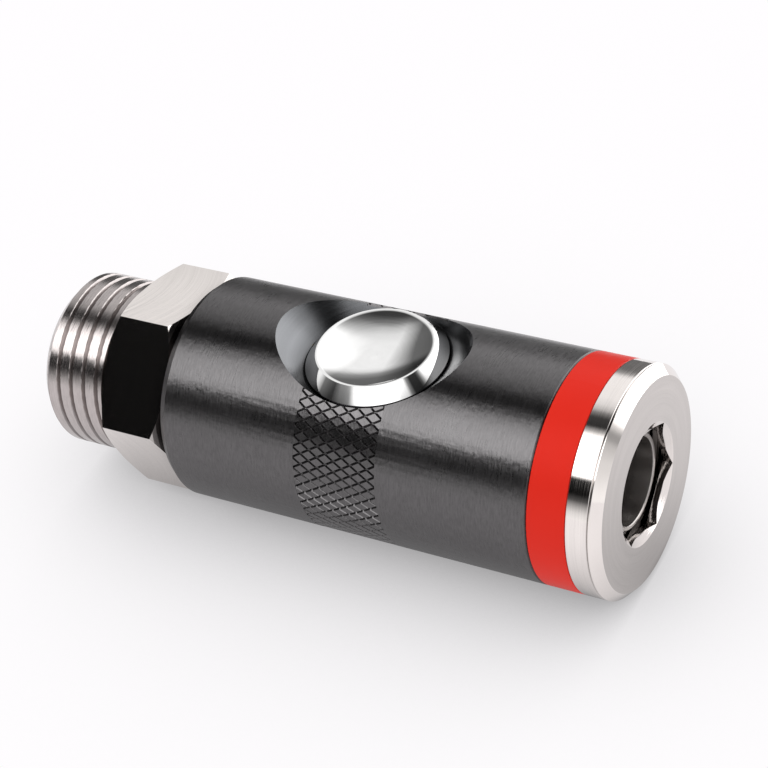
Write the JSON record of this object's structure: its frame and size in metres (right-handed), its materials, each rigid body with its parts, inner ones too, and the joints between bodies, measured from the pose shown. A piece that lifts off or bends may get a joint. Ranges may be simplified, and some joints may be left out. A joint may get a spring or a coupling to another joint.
{
  "type": "quick release coupling",
  "caption": "Round quick coupling for compressed air with a threaded hexagon end, a knurled sleeve, a side push button and a hexagonal plug mouth.",
  "frame": {"origin": "centre of the inlet bore, in the plane of the hexagon's shoulder on the thread side", "axes": "+X along the coupling's axis toward the plug's mouth, +Z out of the push button, +Y completes the right-handed frame"},
  "size_m": [0.0742, 0.0264, 0.0264],
  "materials": {
    "sleeve_metal": "brushed, dark",
    "bright_steel": "turned, satin",
    "button_chrome": "polished",
    "red_band": "gloss",
    "brass_parts": "turned",
    "seal_rubber": "matt",
    "spring_steel": "drawn wire",
    "ball_steel": "polished"
  },
  "bodies": {
    "coupling_body": {"outer_sleeve": "sleeve_metal", "marking_band": "red_band", "front_ring": "bright_steel", "adaptor": "bright_steel", "adaptor_seal": "seal_rubber", "spring_retainer": "brass_parts", "valve_spring": "spring_steel", "valve_seat": "brass_parts", "guide_bush": "brass_parts", "tube_seal": "seal_rubber", "lock_spring": "spring_steel", "ball_cage": "bright_steel", "plug_seal": "seal_rubber", "seal_retainer": "brass_parts", "cage_circlip": "spring_steel"},
    "valve": {"valve_head": "brass_parts", "valve_seal": "seal_rubber", "valve_tube": "brass_parts"},
    "button": {"push_button": "button_chrome", "button_yoke": "bright_steel", "yoke_screw": "spring_steel", "yoke_pin_left": "spring_steel", "yoke_pin_right": "spring_steel"},
    "lock": {"lock_sleeve": "bright_steel"},
    "ball_1": {"locking_ball_1": "ball_steel"},
    "ball_2": {"locking_ball_2": "ball_steel"},
    "ball_3": {"locking_ball_3": "ball_steel"},
    "ball_4": {"locking_ball_4": "ball_steel"}
  },
  "joints": [
    {"name": "valve_slide", "type": "slide", "parent": "coupling_body", "child": "valve", "axis": [-1, 0, 0], "range_m": [0, 0.003], "stiffness_N_per_m": 1200, "springref_m": -0.002, "deforming": ["valve_spring"]},
    {"name": "button_press", "type": "slide", "parent": "coupling_body", "child": "button", "axis": [0, 0, -1], "range_m": [0, 0.0022], "stiffness_N_per_m": 900, "springref_m": -0.003},
    {"name": "lock_slide", "type": "slide", "parent": "coupling_body", "child": "lock", "axis": [1, 0, 0], "range_m": [0, 0.0022], "deforming": ["lock_spring"]},
    {"name": "ball_slide_1", "type": "slide", "parent": "coupling_body", "child": "ball_1", "axis": [0, 0.9613, -0.2756], "range_m": [0, 0.00066]},
    {"name": "ball_slide_2", "type": "slide", "parent": "coupling_body", "child": "ball_2", "axis": [0, 0.2756, 0.9613], "range_m": [0, 0.00066]},
    {"name": "ball_slide_3", "type": "slide", "parent": "coupling_body", "child": "ball_3", "axis": [0, -0.9613, 0.2756], "range_m": [0, 0.00066]},
    {"name": "ball_slide_4", "type": "slide", "parent": "coupling_body", "child": "ball_4", "axis": [0, -0.2756, -0.9613], "range_m": [0, 0.00066]}
  ],
  "couplings": [
    {"joint": "lock_slide", "follows": "button_press", "ratio": 1},
    {"joint": "ball_slide_1", "follows": "button_press", "ratio": 0.295},
    {"joint": "ball_slide_2", "follows": "button_press", "ratio": 0.295},
    {"joint": "ball_slide_3", "follows": "button_press", "ratio": 0.295},
    {"joint": "ball_slide_4", "follows": "button_press", "ratio": 0.295}
  ]
}
